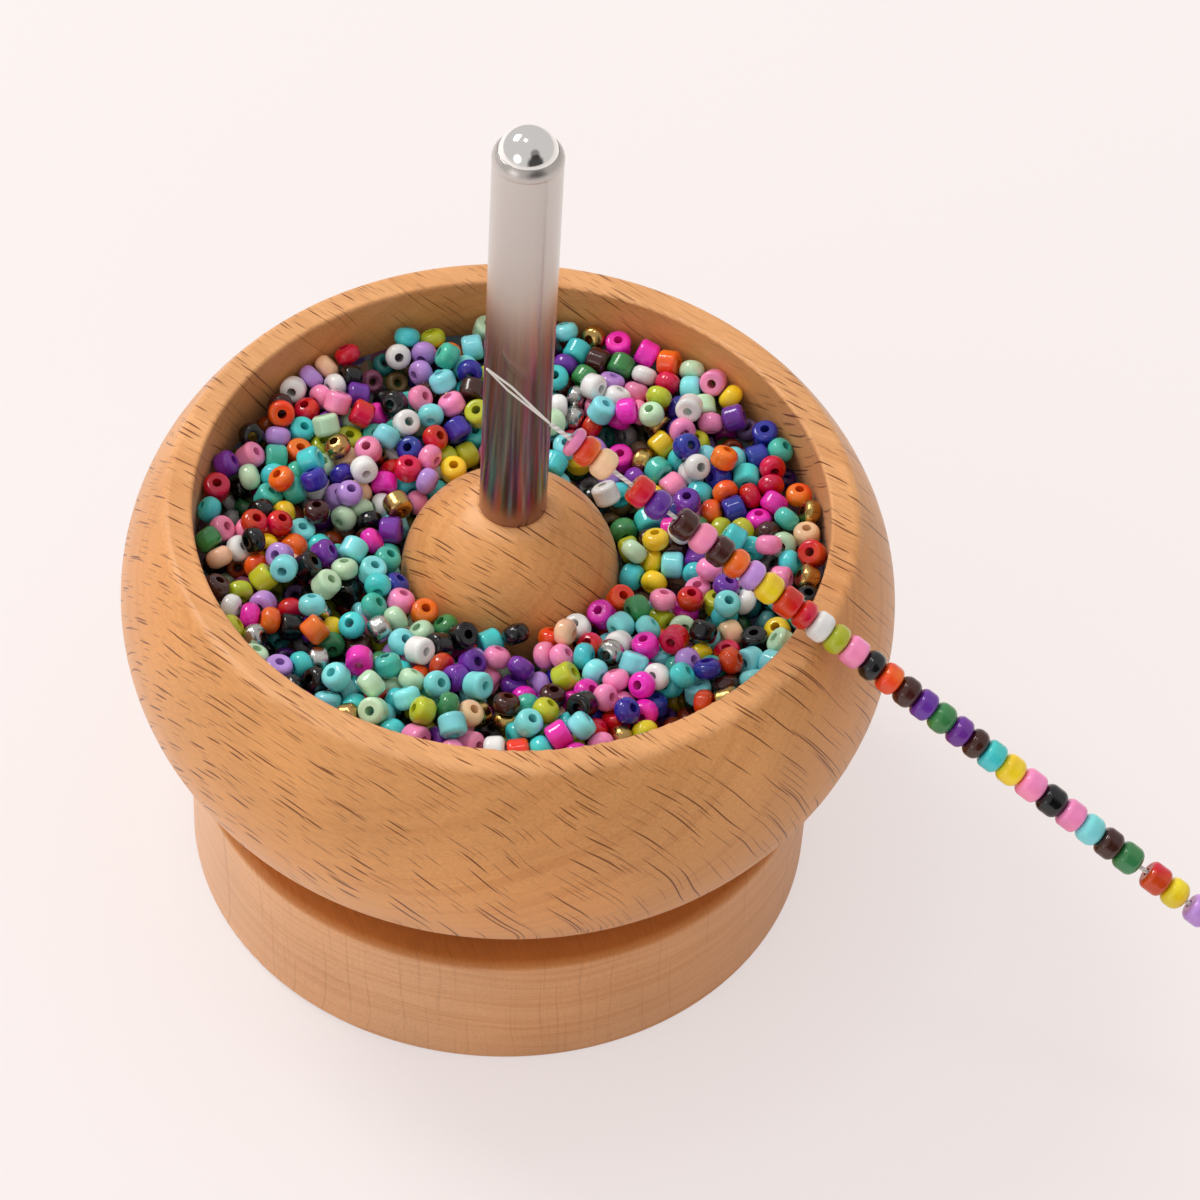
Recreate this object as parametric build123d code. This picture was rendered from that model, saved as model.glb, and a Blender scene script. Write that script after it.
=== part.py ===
from build123d import *
import math
import os
import random

import numpy as np

# A free-turning bead bowl on a turned wooden base. Millimetres, Z up, origin under the middle of the base.

# Base block
base_radius = 46.3
base_height = 22.0
base_top_round = 1.3
base_foot_round = 0.9
under_bowl_gap = 1.8

# Spindle that stands in the base, its collar, screw and washer
spindle_radius = 3.0
spindle_seat_depth = 12.0
spindle_tip_gap = 2.0
spindle_tip_cone = 1.2
collar_radius = 4.2
collar_head = 2.2
screw_radius = 1.6
screw_length = 12.0
screw_head_radius = 3.2
screw_head_height = 2.4
screw_socket_radius = 1.3
screw_socket_depth = 1.4
washer_radius = 5.6
washer_thickness = 1.0
screw_hole_gap = 0.25
counterbore_gap = 0.6
counterbore_depth = 5.2
seat_fit = 0.01

# Deep-groove ball bearing
bearing_width = 6.0
bearing_outer_radius = 9.5
bearing_bore_gap = 0.03
inner_ring_wall = 1.55
outer_ring_wall = 1.5
ball_radius = 1.75
ball_count = 7
groove_gap = 0.05
groove_depth = 0.45
cage_wall = 0.5
cage_height = 4.4
cage_pocket_gap = 0.1
shield_thickness = 0.35
shield_recess = 0.15
shield_ring_gap = 0.2

# Bowl
bowl_height = 44.9
bowl_max_radius = 55.6
bowl_belly_share = 0.5902
bowl_foot_share = 0.67604
rim_inner_share = 0.809353
rim_band = 3.85
rim_inner_round = 0.5
rim_outer_round = 1.3
floor_thickness = 7.7
cavity_round_share = 0.5511
hub_share = 0.348889
hub_middle_drop = 14.7
hub_land = 0.35
hub_foot_round = 2.0
spindle_clearance = 1.0
pocket_extra = 0.4

# Post tube with the ball in its end and the guide bush inside
tube_radius = 4.77
tube_wall = 0.64
post_above_rim = 66.1
tube_seat_depth = 24.5
tube_lip_height = 0.95
tube_lip_start = 0.9
tube_lip_edge = 0.12
tube_lip_bulge_share = 0.7
bush_length = 9.0
bush_gap = 0.05
bush_top_below = 14.0

# Beads in the bowl
bead_radius = 1.92
bead_length = 2.95
bead_bore_radius = 0.67
bead_gap = 0.03
bead_fill_share = 1.42
pile_below_rim = 4.2
pile_dip = 6.6
pile_depth = 4.6
bed_gap = 0.05
bead_seed = 11

# Needle, thread and strung beads
strand_bead_radius = 2.16
strand_bead_bore_radius = 0.62
strand_over_rim = 0.73
strand_cross_turn = -26.7
needle_tip_above_rim = 30.7
needle_tip_turn = 233.8
needle_tip_from_post = 2.18
needle_tip_rise = 1.2
needle_tip_back = 0.66
needle_bend_share = 0.36
needle_wire_radius = 0.16
needle_eye_half_width = 0.5
needle_length = 10.6
thread_radius = 0.32
thread_tail = 2.0
strand_first_bead = 14.2
strand_gap = 0.06
knot_radius = 1.1
knot_flat_share = 0.3

full_turn = 360.0
quarter_turn = 90.0
cut_overrun = 1.0


def point(radius, height):
    return (radius, 0, height)


def solid_of(edges):
    return revolve(make_face(edges), Axis.Z, full_turn)


def turned(points):
    """Revolve a closed outline of straight lines."""
    return solid_of(Polyline(*[point(r, z) for r, z in points], close=True).edges())


def ring(inner, outer, low, high):
    return turned([(inner, low), (outer, low), (outer, high), (inner, high)])


def rod(radius, low, high):
    return Pos(0, 0, (low + high) / 2) * Cylinder(radius, high - low)


def write(shape, name):
    export_step(shape, "parts/" + name + ".step")


# Heights that follow from the sizes above
bowl_bottom = base_height + under_bowl_gap
bowl_height_top = bowl_bottom + bowl_height
bowl_belly_height = bowl_bottom + bowl_height * bowl_belly_share
bowl_foot_radius = bowl_max_radius * bowl_foot_share
rim_inner_radius = bowl_max_radius * rim_inner_share
rim_outer_radius = rim_inner_radius + rim_band
cavity_floor = bowl_bottom + floor_thickness
cavity_round = (bowl_height - floor_thickness) * cavity_round_share
cavity_turn_height = cavity_floor + cavity_round
hub_radius = rim_inner_radius * hub_share
hub_middle_height = bowl_height_top - hub_middle_drop
hub_flat = tube_radius + hub_land
hub_top_height = hub_middle_height + math.sqrt(hub_radius**2 - hub_flat**2)
tube_top_height = bowl_height_top + post_above_rim
tube_low = hub_top_height - tube_seat_depth
pile_at_wall = bowl_height_top - pile_below_rim
pile_at_hub = pile_at_wall - pile_dip
bearing_recess = 0.3
bearing_low = bowl_bottom + bearing_recess
bearing_high = bearing_low + bearing_width
collar_height = bearing_low - base_height
spindle_seat = base_height - spindle_seat_depth
tube_inner = tube_radius - tube_wall
spindle_tip = tube_top_height - tube_inner - spindle_tip_gap
counterbore_top = counterbore_depth


def build_base():
    """Turned block with a blind seat for the spindle and a counterbore for screw and washer."""
    block = rod(base_radius, 0, base_height)
    top_edge = block.edges().filter_by(GeomType.CIRCLE).sort_by(Axis.Z)[-1]
    block = fillet(top_edge, base_top_round)
    foot_edge = block.edges().filter_by(GeomType.CIRCLE).sort_by(Axis.Z)[0]
    block = fillet(foot_edge, base_foot_round)
    block -= rod(spindle_radius + seat_fit, spindle_seat, base_height + cut_overrun)
    block -= rod(screw_radius + screw_hole_gap, counterbore_top - cut_overrun, spindle_seat + cut_overrun)
    block -= rod(washer_radius + counterbore_gap, -cut_overrun, counterbore_top)
    return block


def build_spindle():
    """Steel rod with a collar that carries the inner ring and a tapped foot."""
    body = turned([
        (0, spindle_seat),
        (spindle_radius, spindle_seat),
        (spindle_radius, base_height),
        (collar_radius, base_height),
        (collar_radius, bearing_low),
        (spindle_radius, bearing_low),
        (spindle_radius, spindle_tip - spindle_tip_cone),
        (spindle_radius - spindle_tip_cone, spindle_tip),
        (0, spindle_tip),
    ])
    tapped = screw_length - (spindle_seat - counterbore_top) + washer_thickness
    return body - rod(screw_radius + seat_fit, spindle_seat - cut_overrun, spindle_seat + tapped)


def build_screw():
    head_high = counterbore_top - washer_thickness
    head_low = head_high - screw_head_height
    shank = rod(screw_radius, head_high, head_high + screw_length)
    head = rod(screw_head_radius, head_low, head_high)
    socket = Pos(0, 0, head_low) * extrude(RegularPolygon(screw_socket_radius, 6), screw_socket_depth)
    return shank + head - socket


def build_washer():
    return ring(screw_radius + screw_hole_gap, washer_radius, counterbore_top - washer_thickness, counterbore_top)


# Bearing sizes that follow from its two rings
inner_bore = spindle_radius + bearing_bore_gap
inner_shoulder = inner_bore + inner_ring_wall
outer_shoulder = bearing_outer_radius - outer_ring_wall
pitch_radius = (inner_shoulder + outer_shoulder) / 2
bearing_middle = (bearing_low + bearing_high) / 2
groove_radius = ball_radius + groove_gap


def groove():
    return Pos(0, 0, bearing_middle) * Torus(pitch_radius, groove_radius)


def build_inner_ring():
    return ring(inner_bore, inner_shoulder, bearing_low, bearing_high) - groove()


def build_outer_ring():
    return ring(outer_shoulder, bearing_outer_radius, bearing_low, bearing_high) - groove()


def ball_places():
    step = full_turn / ball_count
    return [Rot(0, 0, step * i) * Pos(pitch_radius, 0, bearing_middle) for i in range(ball_count)]


def build_balls():
    return Compound([place * Sphere(ball_radius) for place in ball_places()])


def build_cage():
    low = bearing_middle - cage_height / 2
    high = bearing_middle + cage_height / 2
    band = ring(pitch_radius - cage_wall / 2, pitch_radius + cage_wall / 2, low, high)
    for place in ball_places():
        band -= place * Rot(0, quarter_turn, 0) * Cylinder(ball_radius + cage_pocket_gap, 2 * ball_radius)
    return band


def build_shields():
    inner = inner_shoulder + shield_ring_gap
    outer = outer_shoulder - seat_fit
    lower_z = bearing_low + shield_recess
    upper_z = bearing_high - shield_recess - shield_thickness
    lower = ring(inner, outer, lower_z, lower_z + shield_thickness)
    upper = ring(inner, outer, upper_z, upper_z + shield_thickness)
    return Compound([lower, upper])


def build_bowl():
    """One turning: bulging wall, flat rim band, round floor and the domed hub."""
    tube_hole = tube_radius + seat_fit
    bore = spindle_radius + spindle_clearance
    pocket = bearing_outer_radius + seat_fit
    pocket_top = bearing_high + pocket_extra
    half_up = math.acos(hub_flat / hub_radius) / 2
    floor_radius = rim_inner_radius - cavity_round
    diagonal = math.sqrt(2) / 2
    outline = [
        Line(point(pocket, bowl_bottom), point(bowl_foot_radius, bowl_bottom)),
        ThreePointArc(
            point(bowl_foot_radius, bowl_bottom),
            point(bowl_max_radius, bowl_belly_height),
            point(rim_outer_radius, bowl_height_top),
        ),
        Line(point(rim_outer_radius, bowl_height_top), point(rim_inner_radius, bowl_height_top)),
        Line(point(rim_inner_radius, bowl_height_top), point(rim_inner_radius, cavity_turn_height)),
        ThreePointArc(
            point(rim_inner_radius, cavity_turn_height),
            point(floor_radius + cavity_round * diagonal, cavity_turn_height - cavity_round * diagonal),
            point(floor_radius, cavity_floor),
        ),
        Line(point(floor_radius, cavity_floor), point(hub_radius + hub_foot_round, cavity_floor)),
        ThreePointArc(
            point(hub_radius + hub_foot_round, cavity_floor),
            point(hub_radius + hub_foot_round * (1 - diagonal), cavity_floor + hub_foot_round * (1 - diagonal)),
            point(hub_radius, cavity_floor + hub_foot_round),
        ),
        Line(point(hub_radius, cavity_floor + hub_foot_round), point(hub_radius, hub_middle_height)),
        ThreePointArc(
            point(hub_radius, hub_middle_height),
            point(hub_radius * math.cos(half_up), hub_middle_height + hub_radius * math.sin(half_up)),
            point(hub_flat, hub_top_height),
        ),
        Line(point(hub_flat, hub_top_height), point(tube_hole, hub_top_height)),
        Line(point(tube_hole, hub_top_height), point(tube_hole, tube_low)),
        Line(point(tube_hole, tube_low), point(bore, tube_low)),
        Line(point(bore, tube_low), point(bore, pocket_top)),
        Line(point(bore, pocket_top), point(pocket, pocket_top)),
        Line(point(pocket, pocket_top), point(pocket, bowl_bottom)),
    ]
    bowl = solid_of(outline)
    circles = bowl.edges().filter_by(GeomType.CIRCLE).sort_by(SortBy.RADIUS)
    rim_height = bowl_height_top - rim_inner_round
    rim_edges = [edge for edge in circles if edge.radius > hub_radius and edge.center().Z > rim_height]
    bowl = fillet(rim_edges[0], rim_inner_round)
    circles = bowl.edges().filter_by(GeomType.CIRCLE).sort_by(SortBy.RADIUS)
    rim_edges = [edge for edge in circles if edge.radius > hub_radius and edge.center().Z > rim_height]
    return fillet(rim_edges[-1], rim_outer_round)


def build_tube():
    """Steel tube with its lip rolled in over the ball."""
    lip_radius = math.sqrt(tube_inner**2 - tube_lip_height**2)
    lip_outer = lip_radius + tube_lip_edge
    lip_top = tube_top_height + tube_lip_height
    lip_low = tube_top_height - tube_lip_start
    half_lip = math.asin(tube_lip_height / tube_inner) / 2
    outline = [
        Line(point(tube_inner, tube_low), point(tube_inner, tube_top_height)),
        ThreePointArc(
            point(tube_inner, tube_top_height),
            point(tube_inner * math.cos(half_lip), tube_top_height + tube_inner * math.sin(half_lip)),
            point(lip_radius, lip_top),
        ),
        Line(point(lip_radius, lip_top), point(lip_outer, lip_top)),
        ThreePointArc(
            point(lip_outer, lip_top),
            point(
                lip_outer + (tube_radius - lip_outer) * tube_lip_bulge_share,
                lip_top - (lip_top - lip_low) * (1 - tube_lip_bulge_share),
            ),
            point(tube_radius, lip_low),
        ),
        Line(point(tube_radius, lip_low), point(tube_radius, tube_low)),
        Line(point(tube_radius, tube_low), point(tube_inner, tube_low)),
    ]
    return solid_of(outline)


def build_post_ball():
    return Pos(0, 0, tube_top_height) * Sphere(tube_inner - seat_fit)


def build_bush():
    high = spindle_tip - bush_top_below
    return ring(spindle_radius + bush_gap, tube_inner - seat_fit, high - bush_length, high)


# The heap of beads is a little lower round the hub
heap_slope = round((pile_at_wall - pile_at_hub) / (rim_inner_radius - hub_radius), 6)


def heap_top(radius):
    return pile_at_hub + heap_slope * (radius - hub_radius)


def build_bed():
    """The lower beads of the heap as one body with the shape of the space that they fill."""
    inner = hub_radius + bed_gap
    outer = rim_inner_radius - bed_gap
    low = cavity_floor + bed_gap
    turn_radius = cavity_turn_height - low
    floor_radius = outer - turn_radius
    diagonal = math.sqrt(2) / 2
    foot = hub_foot_round
    outline = [
        Line(point(inner + foot, low), point(floor_radius, low)),
        ThreePointArc(
            point(floor_radius, low),
            point(floor_radius + turn_radius * diagonal, cavity_turn_height - turn_radius * diagonal),
            point(outer, cavity_turn_height),
        ),
        Line(point(outer, cavity_turn_height), point(outer, heap_top(outer) - pile_depth)),
        Line(point(outer, heap_top(outer) - pile_depth), point(inner, heap_top(inner) - pile_depth)),
        Line(point(inner, heap_top(inner) - pile_depth), point(inner, low + foot)),
        Line(point(inner, low + foot), point(inner + foot, low)),
    ]
    return solid_of(outline)


# Bead shapes, from round to straight-sided: share of the bead radius that is edge rounding, share of its length
shape_shares = [(0.64, 0.94), (0.5, 1.0), (0.36, 1.04), (0.56, 0.86)]


def bead(radius, length, bore, round_share):
    """A bead on the Z axis: rounded outer edge, flat ends, straight bore."""
    edge = radius * round_share
    half = length / 2
    flat = radius - edge
    diagonal = math.sqrt(2) / 2
    side = half - edge
    outline = [
        Line(point(bore, -half), point(flat, -half)),
        ThreePointArc(
            point(flat, -half),
            point(flat + edge * diagonal, -side - edge * diagonal),
            point(radius, -side),
        ),
        Line(point(radius, -side), point(radius, side)),
        ThreePointArc(
            point(radius, side),
            point(flat + edge * diagonal, side + edge * diagonal),
            point(flat, half),
        ),
        Line(point(flat, half), point(bore, half)),
        Line(point(bore, half), point(bore, -half)),
    ]
    return solid_of(outline)


tiny = 1e-9


def nearest(middle, axis, flat, side, target):
    """Nearest point to target in the core of a bead: a disc of radius flat, thick by side each way."""
    offset = target - middle
    along = np.sum(offset * axis, axis=1)
    across = offset - along[:, None] * axis
    size = np.sqrt(np.sum(across**2, axis=1)) + tiny
    share = np.minimum(1, flat / size)
    return middle + across * share[:, None] + np.clip(along, -side, side)[:, None] * axis


def touching(middle, axis, flat, side, first, second, rounds):
    """Closest points of the cores of each pair of beads."""
    there = middle[second]
    for _ in range(rounds):
        here = nearest(middle[first], axis[first], flat[first], side[first], there)
        there = nearest(middle[second], axis[second], flat[second], side[second], here)
    return here, there


def in_beads(length):
    """A length counted in bead radii, rounded so that a heap of any scale settles alike."""
    return round(length / bead_radius, 6)


def close_pairs(middle):
    apart = middle[:, None, :] - middle[None, :, :]
    return np.nonzero(np.triu(np.sum(apart**2, axis=2) < near_beads**2, 1))


def bump(middle):
    """Uneven top of the lower beads, so that the upper ones sit at uneven heights."""
    wave = 2 * math.pi / bump_length_share
    east = np.sin(wave * middle[:, 0] + wave * middle[:, 1] / 3)
    north = np.sin(wave * middle[:, 1] - wave * middle[:, 0] / 2)
    return bump_share * (1 + east * north)


def bed_below(plan):
    """Height of the lower beads at a distance from the axis, both in bead radii."""
    return in_beads(pile_at_hub - pile_depth) + heap_slope * (plan - in_beads(hub_radius))


def relax(middle, axis, edge, flat, side, steps, fall):
    """Let beads drop, push apart from each other, the hub, the wall and the bed, and tip as they touch."""
    gap = in_beads(bead_gap)
    inner = in_beads(hub_radius + bead_gap)
    outer = in_beads(rim_inner_radius - bead_gap)
    slope_normal = 1 / math.sqrt(1 + heap_slope**2)
    for step in range(steps):
        middle[:, 2] -= fall * (1 - step / steps)**2
        if step % pair_steps == 0:
            first, second = close_pairs(middle)
        here, there = touching(middle, axis, flat, side, first, second, quick_rounds)
        apart = here - there
        size = np.sqrt(np.sum(apart**2, axis=1))
        need = edge[first] + edge[second] + gap
        centres = middle[first] - middle[second]
        centres /= np.sqrt(np.sum(centres**2, axis=1))[:, None] + tiny
        merged = size < near_share
        way = np.where(merged[:, None], centres, apart / (size[:, None] + tiny))
        move = way * (np.maximum(0, need - size) * push_share)[:, None]
        shift = np.zeros_like(middle)
        np.add.at(shift, first, move)
        np.add.at(shift, second, -move)
        swing = np.zeros_like(middle)
        np.add.at(swing, first, np.cross(here - middle[first], move))
        np.add.at(swing, second, np.cross(there - middle[second], -move))
        plan = np.sqrt(middle[:, 0]**2 + middle[:, 1]**2)
        outward = np.stack([middle[:, 0] / plan, middle[:, 1] / plan, np.zeros(len(plan))], 1)
        upward = np.array([0, 0, slope_normal]) - outward * heap_slope * slope_normal
        bed = (middle[:, 2] - bed_below(plan) - bump(middle)) * slope_normal
        for normal, distance in ((outward, plan - inner), (-outward, outer - plan), (upward, bed)):
            along = np.sum(axis * normal, axis=1)
            across = np.sqrt(np.maximum(0, 1 - along**2))
            deep = np.maximum(0, flat * across + side * np.abs(along) + edge - distance)
            shift += normal * deep[:, None]
            axis = axis + normal * (np.sign(along) * deep * tip_share)[:, None]
        middle = middle + shift
        axis = axis + np.cross(swing, axis)
        axis = axis / np.sqrt(np.sum(axis**2, axis=1))[:, None]
    return middle, axis


def overlap_depths(middle, axis, edge, flat, side):
    """Largest overlap of each bead with another."""
    first, second = close_pairs(middle)
    here, there = touching(middle, axis, flat, side, first, second, fine_rounds)
    deep = edge[first] + edge[second] - np.sqrt(np.sum((here - there)**2, axis=1))
    worst = np.zeros(len(middle))
    np.maximum.at(worst, first, deep)
    np.maximum.at(worst, second, deep)
    return worst


def settle():
    """Places, axes and shapes of the top beads of the heap, with none overlapping."""
    rng = np.random.RandomState(bead_seed)
    near = (in_beads(hub_radius) + 1)**2
    far = (in_beads(rim_inner_radius) - 1)**2
    count = round((far - near) * bead_fill_share)
    kind = rng.randint(0, len(shape_shares), count)
    edge = np.array(shape_shares)[kind, 0]
    flat = 1 - edge
    side = in_beads(bead_length / 2) * np.array(shape_shares)[kind, 1] - edge
    plan = np.sqrt(rng.uniform(near, far, count))
    turn = rng.uniform(0, 2 * math.pi, count)
    height = bed_below(plan) + in_beads(pile_depth) * (1 + rng.uniform(0, 1, count))
    middle = np.stack([plan * np.cos(turn), plan * np.sin(turn), height], 1)
    axis = rng.normal(size=(count, 3))
    axis /= np.sqrt(np.sum(axis**2, axis=1))[:, None]
    middle, axis = relax(middle, axis, edge, flat, side, fall_steps, fall_share)
    for _ in range(calm_rounds):
        middle, axis = relax(middle, axis, edge, flat, side, calm_steps, 0)
        worst = overlap_depths(middle, axis, edge, flat, side)
        if worst.max() <= 0:
            break
        keep = worst < np.maximum(tiny, worst.max() * keep_share)
        middle, axis, kind = middle[keep], axis[keep], kind[keep]
        edge, flat, side = edge[keep], flat[keep], side[keep]
    keep = overlap_depths(middle, axis, edge, flat, side) <= 0
    return middle[keep] * bead_radius, axis[keep], kind[keep]


pair_steps = 4
quick_rounds = 3
fine_rounds = 60
near_beads = 2.6
near_share = 0.05
push_share = 0.48
tip_share = 0.1
fall_share = 0.12
fall_steps = 320
calm_steps = 60
calm_rounds = 8
keep_share = 0.55
bump_share = 0.22
bump_length_share = 4.6

# Colours of the beads and how common each is
colour_shares = {
    "turquoise": 0.12, "aqua": 0.14, "teal": 0.05, "mint": 0.07, "pink": 0.14, "magenta": 0.07,
    "white": 0.07, "lilac": 0.05, "purple": 0.04, "cobalt": 0.04, "black": 0.05, "brown": 0.04,
    "red": 0.08, "orange": 0.035, "yellow": 0.045, "olive": 0.04, "green": 0.03, "peach": 0.03,
    "gold": 0.02, "silver": 0.02,
}

# Where in the heap a colour gathers: east and north as shares of the rim radius
gather_shares = [
    ("red", 0.45, 0.95), ("red", 0.6, 0.85), ("red", 0.8, 0.35), ("red", 0.75, -0.3), ("red", -0.05, -0.5),
    ("cobalt", 0.2, 0.95), ("cobalt", 0.45, 0.55), ("cobalt", 0.5, -0.6), ("cobalt", 0.8, 0.5),
    ("turquoise", -0.35, 0.9), ("turquoise", -0.75, 0.05), ("turquoise", 0.25, -0.45), ("turquoise", -0.9, 0.35),
    ("aqua", 0.35, -0.15), ("aqua", 0.6, -0.3), ("aqua", -0.55, -0.4), ("aqua", 0.15, 0.9),
    ("teal", -0.4, 0.2), ("teal", -0.25, -0.65), ("teal", 0.9, 0.35),
    ("mint", 0.5, 0.7), ("mint", 0.2, -0.45), ("mint", 0.6, -0.5),
    ("pink", -0.65, 0.5), ("pink", -0.75, 0.2), ("pink", -0.35, -0.2), ("pink", 0.3, 0.65), ("pink", 0.1, -0.45),
    ("pink", -0.9, 0.3), ("pink", 0.5, 0.55), ("pink", 0.9, -0.1),
    ("magenta", -0.7, 0.65), ("magenta", -0.4, 0.45), ("magenta", 0.5, -0.4), ("magenta", 0.1, 0.95),
    ("yellow", -0.25, 0.8), ("yellow", 0.45, 0.0), ("yellow", 0.65, 0.6), ("yellow", 0.85, -0.3),
    ("black", -0.5, 0.65), ("black", -0.85, -0.15), ("black", -0.6, -0.25), ("black", -0.2, 0.7),
    ("brown", 0.5, 0.4), ("brown", 0.9, -0.25), ("brown", -0.35, 0.7), ("brown", 0.2, 0.7), ("brown", 0.75, 0.6),
    ("olive", -0.25, 0.5), ("olive", -0.6, 0.35), ("olive", 0.75, 0.2), ("olive", 0.55, 0.55),
    ("white", -0.3, 0.9), ("white", -0.65, 0.55), ("white", -0.3, 0.4), ("white", 0.15, 0.55), ("white", 0.55, -0.05),
    ("purple", -0.75, 0.55), ("purple", -0.75, -0.15), ("purple", 0.05, -0.6), ("purple", 0.45, 0.2),
    ("lilac", -0.8, 0.4), ("lilac", -0.6, 0.1), ("lilac", -0.05, -0.45), ("lilac", -0.7, -0.5),
    ("orange", -0.25, 0.95), ("orange", -0.7, 0.6), ("orange", -0.95, 0.2), ("orange", 0.1, -0.35),
    ("green", -0.6, 0.75), ("green", -0.5, -0.25), ("green", 0.05, -0.75), ("green", 0.65, 0.7),
    ("peach", -0.45, 0.6), ("peach", 0.4, 0.7), ("peach", 0.25, -0.35), ("peach", -0.7, -0.15),
    ("gold", -0.5, 0.45), ("gold", 0.35, 0.6), ("gold", -0.5, -0.6), ("silver", -0.1, -0.45), ("silver", 0.1, 0.75),
]
gather_reach_share = 0.11
gather_pull = 3.6


def bead_colour(rng, place):
    """Pick a colour by how common it is, more often where that colour gathers."""
    weight = dict(colour_shares)
    for name, east, north in gather_shares:
        away = math.hypot(place[0] - east * rim_inner_radius, place[1] - north * rim_inner_radius)
        pull = math.exp(-((away / (gather_reach_share * rim_inner_radius))**2))
        weight[name] += gather_pull * pull / len(colour_shares)
    return rng.choices(list(weight), list(weight.values()))[0]


def build_heap():
    """Top beads of the heap, one group of separate solids for each colour."""
    rng = random.Random(bead_seed)
    shapes = [
        bead(bead_radius, bead_length * length_share, bead_bore_radius, round_share)
        for round_share, length_share in shape_shares
    ]
    groups = {name: [] for name in colour_shares}
    middle, axis, kind = settle()
    for place, way, shape in zip(middle, axis, kind):
        frame = Plane(origin=tuple(map(float, place)), z_dir=tuple(map(float, way)))
        groups[bead_colour(rng, place)].append(frame.location * shapes[shape])
    print("beads in the heap", len(middle))
    return groups


# Strung beads in order: colour, length and space after it as shares of the strung bead's diameter
strand_shares = [
    ("pink", 0.36, 0), ("orange", 0.62, 0), ("peach", 0.72, 0.74), ("red", 0.7, 0), ("purple", 0.72, 0.33),
    ("brown", 0.74, 0), ("pink", 0.72, 0), ("brown", 0.66, 0), ("orange", 0.66, 0), ("lilac", 0.6, 0),
    ("yellow", 0.78, 0), ("red", 0.74, 0), ("red", 0.6, 0), ("white", 0.68, 0), ("olive", 0.66, 0),
    ("pink", 0.74, 0), ("black", 0.72, 0), ("orange", 0.7, 0), ("brown", 0.74, 0), ("purple", 0.66, 0),
    ("green", 0.8, 0), ("purple", 0.66, 0), ("brown", 0.66, 0), ("turquoise", 0.7, 0), ("yellow", 0.84, 0),
    ("pink", 0.84, 0), ("black", 0.86, 0), ("pink", 0.76, 0), ("aqua", 0.82, 0), ("brown", 0.74, 0),
    ("green", 0.86, 0.33), ("red", 0.8, 0), ("yellow", 0.8, 0.19), ("lilac", 0.8, 0),
]
strand_round_shares = [0.62, 0.46, 0.56, 0.4]

# The strand runs straight from the needle beside the post, over the rim and away
needle_tip_reach = tube_radius + needle_tip_from_post
needle_tip = Vector(
    needle_tip_reach * math.cos(math.radians(needle_tip_turn)),
    needle_tip_reach * math.sin(math.radians(needle_tip_turn)),
    bowl_height_top + needle_tip_above_rim,
)
crossing = Vector(
    rim_outer_radius * math.cos(math.radians(strand_cross_turn)),
    rim_outer_radius * math.sin(math.radians(strand_cross_turn)),
    bowl_height_top + strand_bead_radius + strand_over_rim,
)
strand_way = (crossing - needle_tip).normalized()
eye_way = strand_way.cross(Vector(0, 0, 1)).cross(strand_way).normalized()


def along_strand(distance):
    return needle_tip + strand_way * distance


def strand_frame(distance):
    return Plane(origin=along_strand(distance), x_dir=eye_way, z_dir=strand_way)


def build_strand():
    """Strung beads by colour, and the distance at which the last one ends."""
    groups = {}
    distance = strand_first_bead
    for index, (name, length_share, space_share) in enumerate(strand_shares):
        length = 2 * strand_bead_radius * length_share
        round_share = strand_round_shares[index % len(strand_round_shares)]
        edge = min(round_share, strand_round_limit_share * length / strand_bead_radius)
        shape = bead(strand_bead_radius, length - strand_gap, strand_bead_bore_radius, edge)
        placed = strand_frame(distance + length / 2).location * shape
        groups.setdefault(name, []).append(placed)
        distance += length + 2 * strand_bead_radius * space_share
    return groups, distance


strand_round_limit_share = 0.44


def straight_wire(start, end, radius):
    way = end - start
    plane = Plane(origin=start, z_dir=way)
    return plane.location * Pos(0, 0, way.length / 2) * Cylinder(radius, way.length)


def build_needle():
    """Two fine wires that spread into one long eye and meet at both ends."""
    tip = along_strand(-needle_tip_back) + eye_way * needle_tip_rise
    end = along_strand(needle_length)
    middle = tip + (end - tip) * needle_bend_share
    shape = Pos(*tip) * Sphere(needle_wire_radius) + Pos(*end) * Sphere(needle_wire_radius)
    for side in (1, -1):
        bend = middle + eye_way * needle_eye_half_width * side
        shape += straight_wire(tip, bend, needle_wire_radius)
        shape += straight_wire(bend, end, needle_wire_radius)
        shape += Pos(*bend) * Sphere(needle_wire_radius)
    return shape


def build_thread(last):
    start = along_strand(needle_length + needle_wire_radius + strand_gap)
    return straight_wire(start, along_strand(last + thread_tail), thread_radius)


def build_knot(last):
    """Small lump at the thread's end, cut flat where the thread meets it."""
    flat = knot_radius * knot_flat_share
    lump = Sphere(knot_radius)
    keep = Pos(0, 0, knot_radius - flat) * Box(2 * knot_radius, 2 * knot_radius, 2 * knot_radius)
    return strand_frame(last + thread_tail + flat).location * (lump & keep)


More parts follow.
